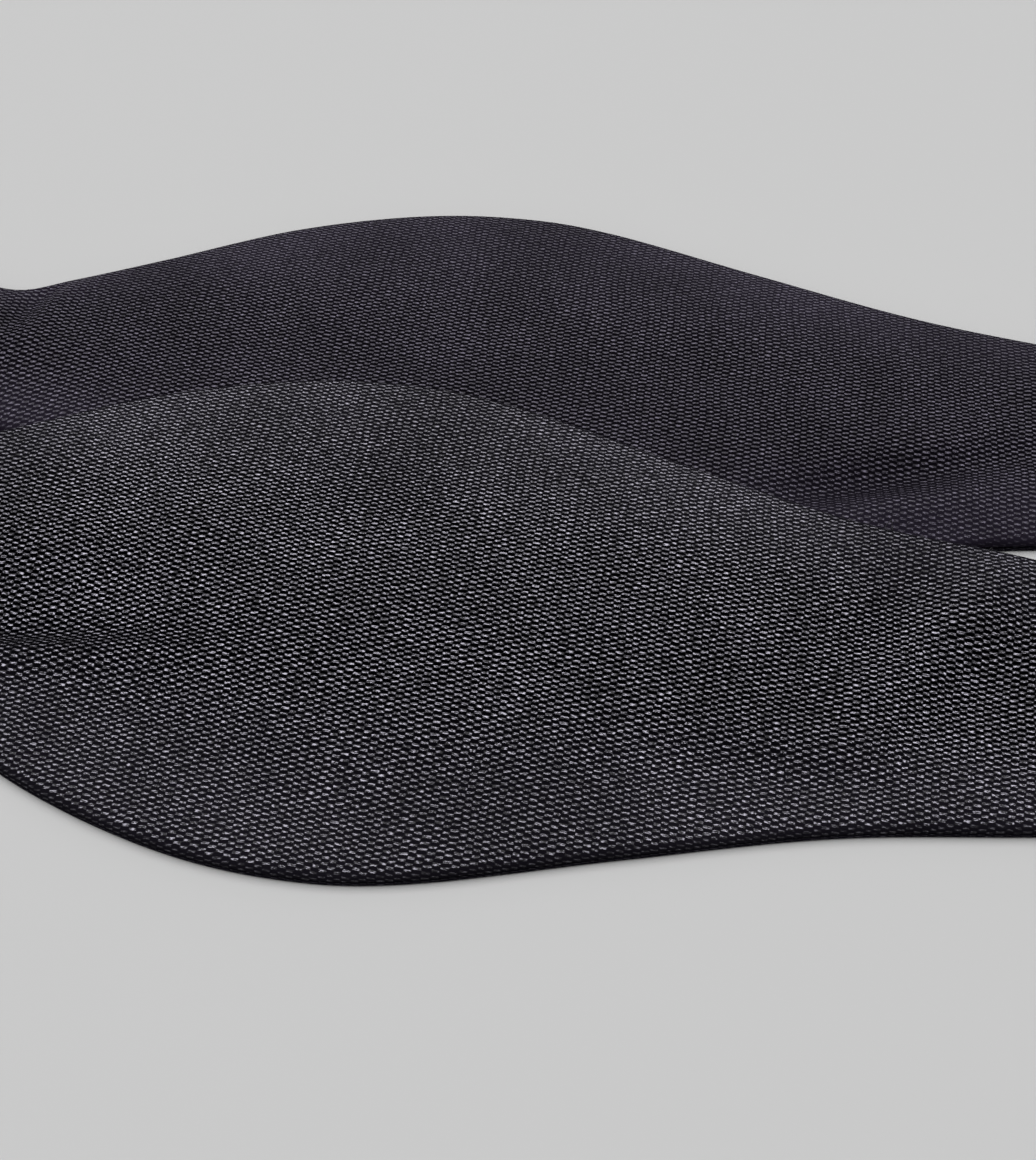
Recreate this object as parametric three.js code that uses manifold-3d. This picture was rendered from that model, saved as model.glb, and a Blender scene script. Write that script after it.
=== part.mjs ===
// Self-tie butterfly bow tie in black silk, laid flat: two blades side by side, the near one lapped over
// the far one, and a neckband that runs away to the right, turns round on its edge and comes back to an
// adjuster with a slide, a hook and an eye. Millimetres, +Z up, the origin on the table under the middle.

import * as THREE from 'three';
import { mergeVertices } from 'three/addons/utils/BufferGeometryUtils.js';
import Module from 'manifold-3d';

// ---------- driving dimensions ----------

const bandWidth = 20.4;          // width of the neckband
const bandReveal = 0.2;          // how far each rim of a blade stands outside the band at their seam

// blade outline: distance along the blade from its widest place, and half of the width there
const bladeOutline = [
  [-124, 29.3], [-111, 31.6], [-97, 28.7], [-80, 19.1], [-66, 12.4], [-57, 9.6], [-50, 12.6],
  [-40, 17.9], [-25, 26.1], [-10, 31.0], [3, 32.3], [15, 30.7], [34, 24.8], [54, 18.9], [75, 15.1],
  [98, bandWidth / 2 + bandReveal],
];
const cornerRadius = 8;          // rounded corners of the blade's free end
const stationStep = 8;           // distance between cross sections of a blade
const acrossCells = 8;           // cells across a blade

// cloth thicknesses
const silk = 0.5;                // one folded silk panel
const layGap = 0.3;              // play between two layers of cloth
const rimHeight = 2 * silk + layGap;
const crown = 1.5;               // extra height in the middle of a blade, over its interlining
const bladeHeight = rimHeight + crown;

// how the two blades lie: widest place of each, and the heading of its axis
const nearBlade = { x: -19.8, y: -5.6, heading: -9.7 };
const farBlade = { x: -6.9, y: 29.6, heading: -7.8 };
const lapClearance = 0.5;        // height between the far blade's crown and the near blade
const lapRun = 34;               // length over which the stiff near blade climbs onto the far one
const lapEnd = 20;               // length over which it comes back down before its band

// neckband
const bandHeight = bladeHeight;
const seamGap = layGap;          // gap between the end of a blade and the start of its band
const nearStraight = 254;        // distance along the near blade's axis to where the band starts to turn
const twistLength = 50;          // length over which the band rolls from flat onto its edge
const eyeEndOfBand = 190;        // distance along the far blade's axis where the returning band ends
const bandStep = 6.5;            // distance between cross sections of the band, about

// adjuster strap and its hardware
const strapPlay = 0.9;           // play on each side of the strap inside the band
const strapWidth = bandWidth - 2 * (silk + strapPlay);
const strapHeight = 0.9;
const strapLift = 2 * silk;      // height of the strap's underside over the table, clear of the band's back
const strapTuck = 7;             // length of strap held inside the end of the band
const hookBarAt = 158;
const eyeBarAt = 180;
const slideBarAt = 146;
const slideTravel = 20;          // way the slide can go towards the blade
const metal = 0.8;               // thickness of the hardware, and width of the bars that cloth turns round
const barWidth = 1.6;            // width of the other bars
const fit = 0.3;                 // clearance between moving or touching pieces
const tailTurnBack = 7;          // length of the strap end sewn back under itself
const seamBack = 1.6;            // distance from a bar to the end of the layer that turns round it
const tackInset = 3.5;           // distance of a bar tack from the end of the cloth that it holds
const tailClimb = 3.4;           // length over which the tail lies level beyond the slide's bar
const railWidth = 1.8;
const slideWindow = 4.6;         // clear length of each of the slide's windows
const frameDepth = 5.2;          // clear length of the hook's and the eye's window
const tongueWidth = 7;
const tongueReach = 3.2;
const lipLength = 3.4;

const padInset = 2;              // distance of the interlining from the blade's end of the short band

// labels and stitches
const labelWidth = 14;
const labelThickness = 0.3;
const labelCorner = 0.05;
const makerLabelLength = 34;
const careLabelLength = 13;
const tackLength = 12;
const tackWidth = 1.4;
const tackHeight = 0.4;

// ---------- materials ----------

const silkBlack = new THREE.MeshStandardMaterial({ color: 0x232226, roughness: 0.6, metalness: 0 });
const canvasWhite = new THREE.MeshStandardMaterial({ color: 0xd8d4c8, roughness: 0.9, metalness: 0 });
const polishedSteel = new THREE.MeshStandardMaterial({ color: 0xb9babd, roughness: 0.25, metalness: 1 });
const labelBlack = new THREE.MeshStandardMaterial({ color: 0x17171a, roughness: 0.5, metalness: 0 });
const threadBlack = new THREE.MeshStandardMaterial({ color: 0x1b1b1e, roughness: 0.7, metalness: 0 });

// ---------- solids ----------

const wasm = await Module();
wasm.setup();

const bare = (geometry) => {
  const copy = geometry.clone();
  copy.deleteAttribute('normal');
  copy.deleteAttribute('uv');
  return mergeVertices(copy, 1e-4);
};

const toSolid = (geometry) => {
  const merged = bare(geometry);
  return new wasm.Manifold(new wasm.Mesh({
    numProp: 3,
    vertProperties: new Float32Array(merged.attributes.position.array),
    triVerts: new Uint32Array(merged.index.array),
  }));
};

const toGeometry = (solid) => {
  const mesh = solid.getMesh();
  const geometry = new THREE.BufferGeometry();
  geometry.setAttribute('position', new THREE.BufferAttribute(new Float32Array(mesh.vertProperties), 3));
  geometry.setIndex(new THREE.BufferAttribute(new Uint32Array(mesh.triVerts), 1));
  return geometry;
};

const block = (x0, x1, y0, y1, z0, z1) => {
  const box = new THREE.BoxGeometry(x1 - x0, y1 - y0, z1 - z0);
  return box.translate((x0 + x1) / 2, (y0 + y1) / 2, (z0 + z1) / 2);
};

const join = (pieces) => toGeometry(pieces.map(toSolid).reduce((a, b) => a.add(b)));

const group = new THREE.Group();

const addPiece = (name, geometry, material, parent = group) => {
  const piece = bare(geometry);
  piece.computeVertexNormals();
  const mesh = new THREE.Mesh(piece, material);
  mesh.name = name;
  parent.add(mesh);
  return mesh;
};

// ---------- blades ----------

const outlineCurve = new THREE.SplineCurve(bladeOutline.map(([t, half]) => new THREE.Vector2(t, half)));
const outlineSamples = outlineCurve.getPoints(600);   // fine enough to read the width off in a straight line
const bladeEnd = bladeOutline[0][0];
const bladeRoot = bladeOutline[bladeOutline.length - 1][0];
const bandStart = bladeRoot + seamGap;

// Half of the blade's width at a distance along it, with the rounded corners of the free end.
const halfWidth = (t) => {
  let k = 1;
  while (k < outlineSamples.length - 1 && outlineSamples[k].x < t) k += 1;
  const a = outlineSamples[k - 1];
  const b = outlineSamples[k];
  const along = Math.min(Math.max((t - a.x) / (b.x - a.x), 0), 1);
  const width = a.y + (b.y - a.y) * along;
  const toCorner = Math.max(cornerRadius - (t - bladeEnd), 0);
  return width - cornerRadius + Math.sqrt(cornerRadius ** 2 - toCorner ** 2);
};

const headingVectors = (blade) => {
  const angle = THREE.MathUtils.degToRad(blade.heading);
  const along = new THREE.Vector2(Math.cos(angle), Math.sin(angle));
  return { along, left: new THREE.Vector2(-along.y, along.x) };
};

const onBlade = (blade, t, across) => {
  const { along, left } = headingVectors(blade);
  return {
    x: blade.x + along.x * t + left.x * across,
    y: blade.y + along.y * t + left.y * across,
  };
};

// Cross sections: close together round the corners of the free end, evenly spaced after them.
const cornerShares = [0, 0.08, 0.3, 0.62];
const stations = cornerShares.map((share) => bladeEnd + share * cornerRadius);
const evenCount = Math.round((bladeRoot - bladeEnd - cornerRadius) / stationStep);
for (let i = 0; i <= evenCount; i += 1) {
  stations.push(bladeEnd + cornerRadius + ((bladeRoot - bladeEnd - cornerRadius) * i) / evenCount);
}

// Places across the blade, from -1 to 1, close together near the rims.
const across = [];
for (let i = 0; i <= acrossCells; i += 1) {
  across.push(Math.sin((Math.PI / 2) * ((2 * i) / acrossCells - 1)));
}

const smooth = (v) => {
  const s = Math.min(Math.max(v, 0), 1);
  return s * s * (3 - 2 * s);
};

const liesOnTable = () => 0;

// Distance of a place along a blade's axis, and across it.
const fromBlade = (blade, x, y) => {
  const { along, left } = headingVectors(blade);
  const dx = x - blade.x;
  const dy = y - blade.y;
  return { t: dx * along.x + dy * along.y, n: dx * left.x + dy * left.y };
};

// Height of the near blade's underside: on the table, and up over the far blade where they lap.
const liesOnFarBlade = (x, y) => {
  const { t, n } = fromBlade(farBlade, x, y);
  const edge = halfWidth(Math.min(Math.max(t, bladeEnd), bladeRoot));
  const inside = Math.min(edge - Math.abs(n), t - bladeEnd);
  const toBand = bladeRoot - fromBlade(nearBlade, x, y).t;
  return (bladeHeight + lapClearance) * smooth(1 + inside / lapRun) * smooth(toBand / lapEnd);
};

// Closed panel over a grid of places: its lower points, its upper points and a wall round the rim.
// Both sides are cut along the same diagonals, so that layers laid on each other keep their gap.
const panel = (rows, cols, place) => {
  const points = [];
  for (const upper of [false, true]) {
    for (let i = 0; i < rows; i += 1) {
      for (let j = 0; j < cols; j += 1) {
        const p = place(i, j, upper);
        points.push(p.x, p.y, p.z);
      }
    }
  }
  const count = rows * cols;
  const index = [];
  for (let i = 0; i < rows - 1; i += 1) {
    for (let j = 0; j < cols - 1; j += 1) {
      const a = i * cols + j;
      const b = a + cols;
      index.push(a, a + 1, b + 1, a, b + 1, b);
      index.push(count + a, count + b + 1, count + a + 1, count + a, count + b, count + b + 1);
    }
  }
  const rim = [];
  for (let j = 0; j < cols - 1; j += 1) rim.push(j);
  for (let i = 0; i < rows - 1; i += 1) rim.push(i * cols + cols - 1);
  for (let j = cols - 1; j > 0; j -= 1) rim.push((rows - 1) * cols + j);
  for (let i = rows - 1; i > 0; i -= 1) rim.push(i * cols);
  rim.forEach((a, k) => {
    const b = rim[(k + 1) % rim.length];
    index.push(a, count + b, b, a, count + a, count + b);
  });
  const geometry = new THREE.BufferGeometry();
  geometry.setAttribute('position', new THREE.BufferAttribute(new Float32Array(points), 3));
  geometry.setIndex(index);
  return geometry;
};

// One layer of a blade: a panel between two heights, over part of the blade's grid.
const layer = (blade, base, trimEnds, trimSides, low, high) => {
  const ts = stations.slice(trimEnds, stations.length - trimEnds);
  const qs = across.slice(trimSides, across.length - trimSides);
  return panel(ts.length, qs.length, (i, j, upper) => {
    const at = onBlade(blade, ts[i], qs[j] * halfWidth(ts[i]));
    const top = rimHeight + crown * Math.sqrt(Math.max(1 - qs[j] ** 2, 0));
    return { ...at, z: base(at.x, at.y) + (upper ? high(top) : low(top)) };
  });
};

const addBlade = (name, blade, base) => {
  addPiece(`${name}_blade_back`, layer(blade, base, 0, 0, () => 0, () => silk), silkBlack);
  const padLow = () => silk + layGap;
  const padHigh = (top) => top - silk - layGap;
  addPiece(`${name}_blade_interlining`, layer(blade, base, 2, 1, padLow, padHigh), canvasWhite);
  addPiece(`${name}_blade_face`, layer(blade, base, 0, 0, (top) => top - silk, (top) => top), silkBlack);
};

addBlade('far', farBlade, liesOnTable);
addBlade('near', nearBlade, liesOnFarBlade);

// ---------- neckband ----------

const dot = (a, b) => a.x * b.x + a.y * b.y;
const nearAxis = headingVectors(nearBlade);
const farAxis = headingVectors(farBlade);
const turnStart = onBlade(nearBlade, nearStraight, 0);
const lineApart = dot(farBlade, farAxis.left) - dot(turnStart, farAxis.left);
const turnRadius = lineApart / (1 + dot(nearAxis.left, farAxis.left));
const turnAngle = Math.PI + THREE.MathUtils.degToRad(farBlade.heading - nearBlade.heading);
const turnCentre = onBlade(nearBlade, nearStraight, turnRadius);
const turnEnd = {
  x: turnCentre.x + farAxis.left.x * turnRadius,
  y: turnCentre.y + farAxis.left.y * turnRadius,
};
const farStraight = (turnEnd.x - farBlade.x) * farAxis.along.x + (turnEnd.y - farBlade.y) * farAxis.along.y;
const outLength = nearStraight - bandStart;
const arcLength = turnRadius * turnAngle;
const bandLength = outLength + arcLength + farStraight - eyeEndOfBand;

// Place, left-hand direction and roll of the band at a distance along it.
const bandFrame = (s) => {
  const startAngle = Math.atan2(nearAxis.along.y, nearAxis.along.x);
  const turned = Math.min(Math.max(s - outLength, 0), arcLength) / turnRadius;
  const angle = startAngle + turned;
  const along = { x: Math.cos(angle), y: Math.sin(angle) };
  const left = { x: -along.y, y: along.x };
  const before = Math.min(s, outLength) - outLength;
  const after = Math.max(s - outLength - arcLength, 0);
  const centre = {
    x: turnCentre.x - left.x * turnRadius + along.x * (before + after),
    y: turnCentre.y - left.y * turnRadius + along.y * (before + after),
  };
  const rollIn = smooth((s - outLength + twistLength) / twistLength);
  const rollOut = smooth((s - outLength - arcLength) / twistLength);
  return { centre, left, roll: (Math.PI / 2) * (rollIn - rollOut) };
};

// Place in space of a point of the band's cross section: a across the band, b through it, s along it.
const inBand = (a, b, s) => {
  const { centre, left, roll } = bandFrame(s);
  const middle = (bandWidth / 2) * Math.sin(roll) + (bandHeight / 2) * Math.cos(roll);
  const sideways = a * Math.cos(roll) - b * Math.sin(roll);
  return {
    x: centre.x + left.x * sideways,
    y: centre.y + left.y * sideways,
    z: middle + a * Math.sin(roll) + b * Math.cos(roll),
  };
};

// Outline of a flat strip with its corners taken off.
const strip = (width, height, corner) => {
  const x = width / 2;
  const y = height / 2;
  return [
    [x, -y + corner], [x, y - corner], [x - corner, y], [-x + corner, y],
    [-x, y - corner], [-x, -y + corner], [-x + corner, -y], [x - corner, -y],
  ].map(([a, b]) => new THREE.Vector2(a, b));
};

// Sweeps an outline along a course, solid or with an open hole of the same number of points. The hole's
// walls are cut along the same diagonals as the outside, so that a swept core keeps its gap in the hole.
const sweep = (outline, hole, start, length, steps, place) => {
  const rings = hole ? [outline, hole] : [outline];
  const n = outline.length;
  const points = [];
  for (const ring of rings) {
    for (let k = 0; k <= steps; k += 1) {
      for (const corner of ring) {
        const p = place(corner.x, corner.y, start + (length * k) / steps);
        points.push(p.x, p.y, p.z);
      }
    }
  }
  const index = [];
  const ringSize = (steps + 1) * n;
  rings.forEach((ring, r) => {
    for (let k = 0; k < steps; k += 1) {
      for (let i = 0; i < n; i += 1) {
        const a = r * ringSize + k * n + i;
        const b = r * ringSize + k * n + ((i + 1) % n);
        if (r === 0) index.push(a, b, b + n, a, b + n, a + n);
        else index.push(a, b + n, b, a, a + n, b + n);
      }
    }
  });
  const last = steps * n;
  if (hole) {
    for (let i = 0; i < n; i += 1) {
      const j = (i + 1) % n;
      index.push(i, ringSize + j, j, i, ringSize + i, ringSize + j);
      index.push(last + i, last + j, last + ringSize + j, last + i, last + ringSize + j, last + ringSize + i);
    }
  } else {
    for (const [a, b, c] of THREE.ShapeUtils.triangulateShape(outline, [])) {
      index.push(a, c, b, last + a, last + b, last + c);
    }
  }
  const geometry = new THREE.BufferGeometry();
  geometry.setAttribute('position', new THREE.BufferAttribute(new Float32Array(points), 3));
  geometry.setIndex(index);
  return geometry;
};

const bandOutline = strip(bandWidth, bandHeight, silk);
const bandInside = strip(bandWidth - 2 * silk, bandHeight - 2 * silk, silk / 2);
const padOutline = strip(bandWidth - 2 * (silk + layGap), bandHeight - 2 * (silk + layGap), silk / 2);

// Every piece in the long band starts and ends on the same cross sections, so that their gaps stay even.
const bandSteps = Math.round(bandLength / bandStep);
const bandPitch = bandLength / bandSteps;
const padEndSteps = Math.ceil((strapTuck + layGap) / bandPitch);

addPiece('neckband_cloth', sweep(bandOutline, bandInside, 0, bandLength, bandSteps, inBand), silkBlack);
const padSteps = bandSteps - 1 - padEndSteps;
const neckPad = sweep(padOutline, null, bandPitch, padSteps * bandPitch, padSteps, inBand);
addPiece('neckband_interlining', neckPad, canvasWhite);

// Labels lie on the inner side of the band, where it stands round the turn.
const addLabel = (name, startStep, length) => {
  const steps = Math.round(length / bandPitch);
  const below = -bandHeight / 2 - fit - labelThickness / 2;
  const outline = strip(labelWidth, labelThickness, labelCorner);
  const onInside = (a, b, s) => inBand(a, b + below, s);
  addPiece(name, sweep(outline, null, startStep * bandPitch, steps * bandPitch, steps, onInside), labelBlack);
  return startStep + steps;
};

const turnMiddle = outLength + arcLength / 2;
const makerStart = Math.round((turnMiddle - makerLabelLength / 2) / bandPitch);
const makerEnd = addLabel('maker_label', makerStart, makerLabelLength);
addLabel('care_label', makerEnd + 1, careLabelLength);

// ---------- adjuster ----------

// Everything here is laid out along the far blade's axis: x along it, y across it, z up.
const adjuster = new THREE.Group();
adjuster.position.set(farBlade.x, farBlade.y, 0);
adjuster.rotation.z = THREE.MathUtils.degToRad(farBlade.heading);
group.add(adjuster);

const flatBand = (a, b, s) => ({ x: s, y: a, z: b + bandHeight / 2 });

// The short band stops where the slide stops.
const slideHalf = barWidth / 2 + slideWindow + barWidth;
const farBandEnd = slideBarAt - slideHalf - slideTravel - fit;
const farBandLength = farBandEnd - bandStart;
const farBand = sweep(bandOutline, bandInside, bandStart, farBandLength, 1, flatBand);
addPiece('short_band_cloth', farBand, silkBlack, adjuster);
const farPadLength = farBandLength - padInset - strapTuck - layGap;
const farPad = sweep(padOutline, null, bandStart + padInset, farPadLength, 1, flatBand);
addPiece('short_band_interlining', farPad, canvasWhite, adjuster);

const strapTop = strapLift + strapHeight;
const barLow = strapTop + fit;
const barTop = barLow + metal;
const returnLow = barTop + fit;
const returnTop = returnLow + strapHeight;

const turnSteps = 8;

// Side view of a strap that runs out, turns round a bar and comes back over itself.
// direction is +1 when the bar is to the right of the strap.
const foldedStrap = (flatEnd, barAt, backEnd, direction) => {
  const centreZ = (strapLift + returnTop) / 2;
  const outer = (returnTop - strapLift) / 2;
  const inner = outer - strapHeight;
  const points = [[flatEnd, strapLift]];
  for (let i = 0; i <= turnSteps; i += 1) {
    const angle = -Math.PI / 2 + (Math.PI * i) / turnSteps;
    points.push([barAt + direction * outer * Math.cos(angle), centreZ + outer * Math.sin(angle)]);
  }
  points.push([backEnd, returnTop], [backEnd, returnLow]);
  for (let i = turnSteps; i >= 0; i -= 1) {
    const angle = -Math.PI / 2 + (Math.PI * i) / turnSteps;
    points.push([barAt + direction * inner * Math.cos(angle), centreZ + inner * Math.sin(angle)]);
  }
  points.push([flatEnd, strapTop]);
  return points;
};

// Side view drawn in x and z, made as wide as the strap.
const sideExtrude = (points, width) => {
  const shape = new THREE.Shape(points.map(([x, z]) => new THREE.Vector2(x, z)));
  const geometry = new THREE.ExtrudeGeometry(shape, { depth: width, bevelEnabled: false });
  return geometry.rotateX(Math.PI / 2).translate(0, width / 2, 0);
};

const tailStart = hookBarAt - seamBack;
const strapInBand = farBandEnd - strapTuck;
const strapSide = foldedStrap(strapInBand, hookBarAt, tailStart + layGap, 1);
addPiece('adjuster_strap', sideExtrude(strapSide, strapWidth), silkBlack, adjuster);

const tabInBand = eyeEndOfBand + strapTuck;
const tabReturn = eyeEndOfBand - seamBack;
const tabSide = foldedStrap(tabInBand, eyeBarAt, tabReturn, -1);
addPiece('eye_tab', sideExtrude(tabSide, strapWidth), silkBlack, adjuster);

// The strap's tail runs back from the hook over the slide's middle bar and is sewn back under itself.
const tailLow = strapTop + fit;
const slideBarLow = tailLow + strapHeight + fit;
const slideBarTop = slideBarLow + metal;
const tailHigh = slideBarTop + fit;
const tailSide = () => {
  const centreX = slideBarAt - (barWidth - metal) / 2;
  const centreZ = (slideBarLow + slideBarTop) / 2;
  const inner = metal / 2 + fit;
  const outer = inner + strapHeight;
  const levelEnd = slideBarAt + tailClimb;
  const points = [[tailStart, returnLow], [tailStart, returnTop]];
  points.push([levelEnd, tailHigh + strapHeight]);
  for (let i = 0; i <= turnSteps; i += 1) {
    const angle = Math.PI / 2 + (Math.PI * i) / turnSteps;
    points.push([centreX + outer * Math.cos(angle), centreZ + outer * Math.sin(angle)]);
  }
  points.push([slideBarAt + tailTurnBack, tailLow], [slideBarAt + tailTurnBack, tailLow + strapHeight]);
  for (let i = turnSteps; i >= 0; i -= 1) {
    const angle = Math.PI / 2 + (Math.PI * i) / turnSteps;
    points.push([centreX + inner * Math.cos(angle), centreZ + inner * Math.sin(angle)]);
  }
  points.push([levelEnd, tailHigh]);
  return points;
};
addPiece('strap_tail', sideExtrude(tailSide(), strapWidth), silkBlack, adjuster);

// A flat bar across a buckle, let into both of its side rails.
const railIn = strapWidth / 2 + fit;
const railOut = railIn + railWidth;
const crossBar = (at, width, low, high) => {
  const half = (railIn + railOut) / 2;
  return block(at - width / 2, at + width / 2, -half, half, low, high);
};

const sideRails = (from, to, low, high) => [-1, 1].map((side) => {
  const edges = [side * railIn, side * railOut];
  return block(from, to, Math.min(...edges), Math.max(...edges), low, high);
});

// Slide: two side rails, two bars under the strap and one bar over it.
const outerBar = slideHalf - barWidth / 2;
const slidePieces = [
  ...sideRails(slideBarAt - slideHalf, slideBarAt + slideHalf, 0, slideBarTop),
  crossBar(slideBarAt - outerBar, barWidth, 0, strapLift - fit),
  crossBar(slideBarAt + outerBar, barWidth, 0, strapLift - fit),
  crossBar(slideBarAt, barWidth, slideBarLow, slideBarTop),
];
addPiece('slide_adjuster', join(slidePieces), polishedSteel, adjuster);

// Hook and eye share a buckle frame: a square bar for the cloth, two rails and a flat cross bar.
const frameEnd = metal / 2 + frameDepth + barWidth;
const buckleFrame = (barAt, direction) => {
  const ends = [barAt - (direction * metal) / 2, barAt + direction * frameEnd];
  return [
    ...sideRails(Math.min(...ends), Math.max(...ends), barLow, barTop),
    crossBar(barAt, metal, barLow, barTop),
    crossBar(barAt + direction * (frameEnd - barWidth / 2), barWidth, barLow, barTop),
  ];
};

// Hook: a tongue goes on from the frame, turns down and comes back underneath.
const hookRoot = hookBarAt + frameEnd;
const hookLow = barLow - 2 * metal - fit;
const tongueEnd = hookRoot + tongueReach;
addPiece('neck_hook', join([
  ...buckleFrame(hookBarAt, 1),
  block(hookRoot - barWidth, tongueEnd, -tongueWidth / 2, tongueWidth / 2, barLow, barTop),
  block(tongueEnd - metal, tongueEnd, -tongueWidth / 2, tongueWidth / 2, hookLow, barTop),
  block(tongueEnd - lipLength, tongueEnd, -tongueWidth / 2, tongueWidth / 2, hookLow, hookLow + metal),
]), polishedSteel, adjuster);

addPiece('neck_eye', join(buckleFrame(eyeBarAt, -1)), polishedSteel, adjuster);

// Bar tacks hold the folded ends down.
const tack = (at, height) => block(
  at - tackWidth / 2, at + tackWidth / 2, -tackLength / 2, tackLength / 2, height, height + tackHeight,
);
addPiece('eye_bar_tack', tack(tabReturn - tackInset, returnTop + fit), threadBlack, adjuster);
addPiece('strap_bar_tack', tack(farBandEnd - tackInset, bandHeight + fit), threadBlack, adjuster);
const tailTackAt = slideBarAt + tailClimb - tackWidth / 2;
addPiece('tail_bar_tack', tack(tailTackAt, tailHigh + strapHeight + fit), threadBlack, adjuster);

// ---------- origin ----------

group.updateMatrixWorld(true);
const extent = new THREE.Box3().setFromObject(group, true);
const middle = extent.getCenter(new THREE.Vector3());
group.position.set(-middle.x, -middle.y, -extent.min.z);

export default group;
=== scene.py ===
import bpy
import bmesh
import math
import numpy as np
from mathutils import Matrix, Vector


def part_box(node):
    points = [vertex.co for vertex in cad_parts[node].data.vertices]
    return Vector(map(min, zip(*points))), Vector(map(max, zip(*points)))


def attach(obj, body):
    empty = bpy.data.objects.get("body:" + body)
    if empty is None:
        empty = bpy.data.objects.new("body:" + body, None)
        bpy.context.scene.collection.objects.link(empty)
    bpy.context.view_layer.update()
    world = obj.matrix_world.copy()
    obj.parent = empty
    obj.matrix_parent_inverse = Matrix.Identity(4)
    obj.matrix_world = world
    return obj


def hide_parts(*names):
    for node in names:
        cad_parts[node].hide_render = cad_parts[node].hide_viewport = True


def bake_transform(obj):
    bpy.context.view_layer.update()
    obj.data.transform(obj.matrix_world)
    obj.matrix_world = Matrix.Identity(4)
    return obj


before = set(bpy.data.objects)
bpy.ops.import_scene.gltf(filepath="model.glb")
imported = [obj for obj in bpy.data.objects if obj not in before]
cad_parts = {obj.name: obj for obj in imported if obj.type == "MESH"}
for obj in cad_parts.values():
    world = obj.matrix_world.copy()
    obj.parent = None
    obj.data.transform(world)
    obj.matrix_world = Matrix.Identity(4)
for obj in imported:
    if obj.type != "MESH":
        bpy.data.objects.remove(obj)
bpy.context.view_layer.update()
mm = 0.001


def hexColour(code):
    # sRGB hex to the linear colour that a shader wants
    parts = [int(code[i:i + 2], 16) / 255 for i in (1, 3, 5)]
    return [c / 12.92 if c <= 0.04045 else ((c + 0.055) / 1.055) ** 2.4 for c in parts] + [1.0]


def addNode(tree, kind, settings=None, inputs=None):
    node = tree.nodes.new(kind)
    for name, value in (settings or {}).items():
        setattr(node, name, value)
    for key, value in (inputs or {}).items():
        socket = node.inputs[key]
        if isinstance(value, bpy.types.NodeSocket):
            tree.links.new(value, socket)
        else:
            socket.default_value = value
    return node


def newMaterial(name):
    material = bpy.data.materials.new(name)
    material.use_nodes = True
    material.node_tree.nodes.clear()
    return material, material.node_tree


def smooth(v):
    s = np.clip(v, 0, 1)
    return s * s * (3 - 2 * s)


def makeObject(name, points, faces, uvs=None, material=None, marks=None):
    mesh = bpy.data.meshes.new(name)
    mesh.from_pydata([tuple(p) for p in points], [], faces)
    if uvs is not None:
        layer = mesh.uv_layers.new(name="cloth")
        loops = np.empty(len(mesh.loops), np.int32)
        mesh.loops.foreach_get("vertex_index", loops)
        layer.data.foreach_set("uv", np.asarray(uvs, np.float32)[loops].ravel())
    mesh.polygons.foreach_set("use_smooth", [True] * len(mesh.polygons))
    for mark, values in (marks or {}).items():
        layer = mesh.attributes.new(mark, "FLOAT", "POINT")
        layer.data.foreach_set("value", np.asarray(values, np.float32).ravel())
    if material:
        mesh.materials.append(material)
    mesh.update()
    piece = bpy.data.objects.new(name, mesh)
    bpy.context.scene.collection.objects.link(piece)
    return piece


weave = {"column": 0.79, "row": 0.66}  # mm: pitch of the floats along and across the blade


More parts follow.
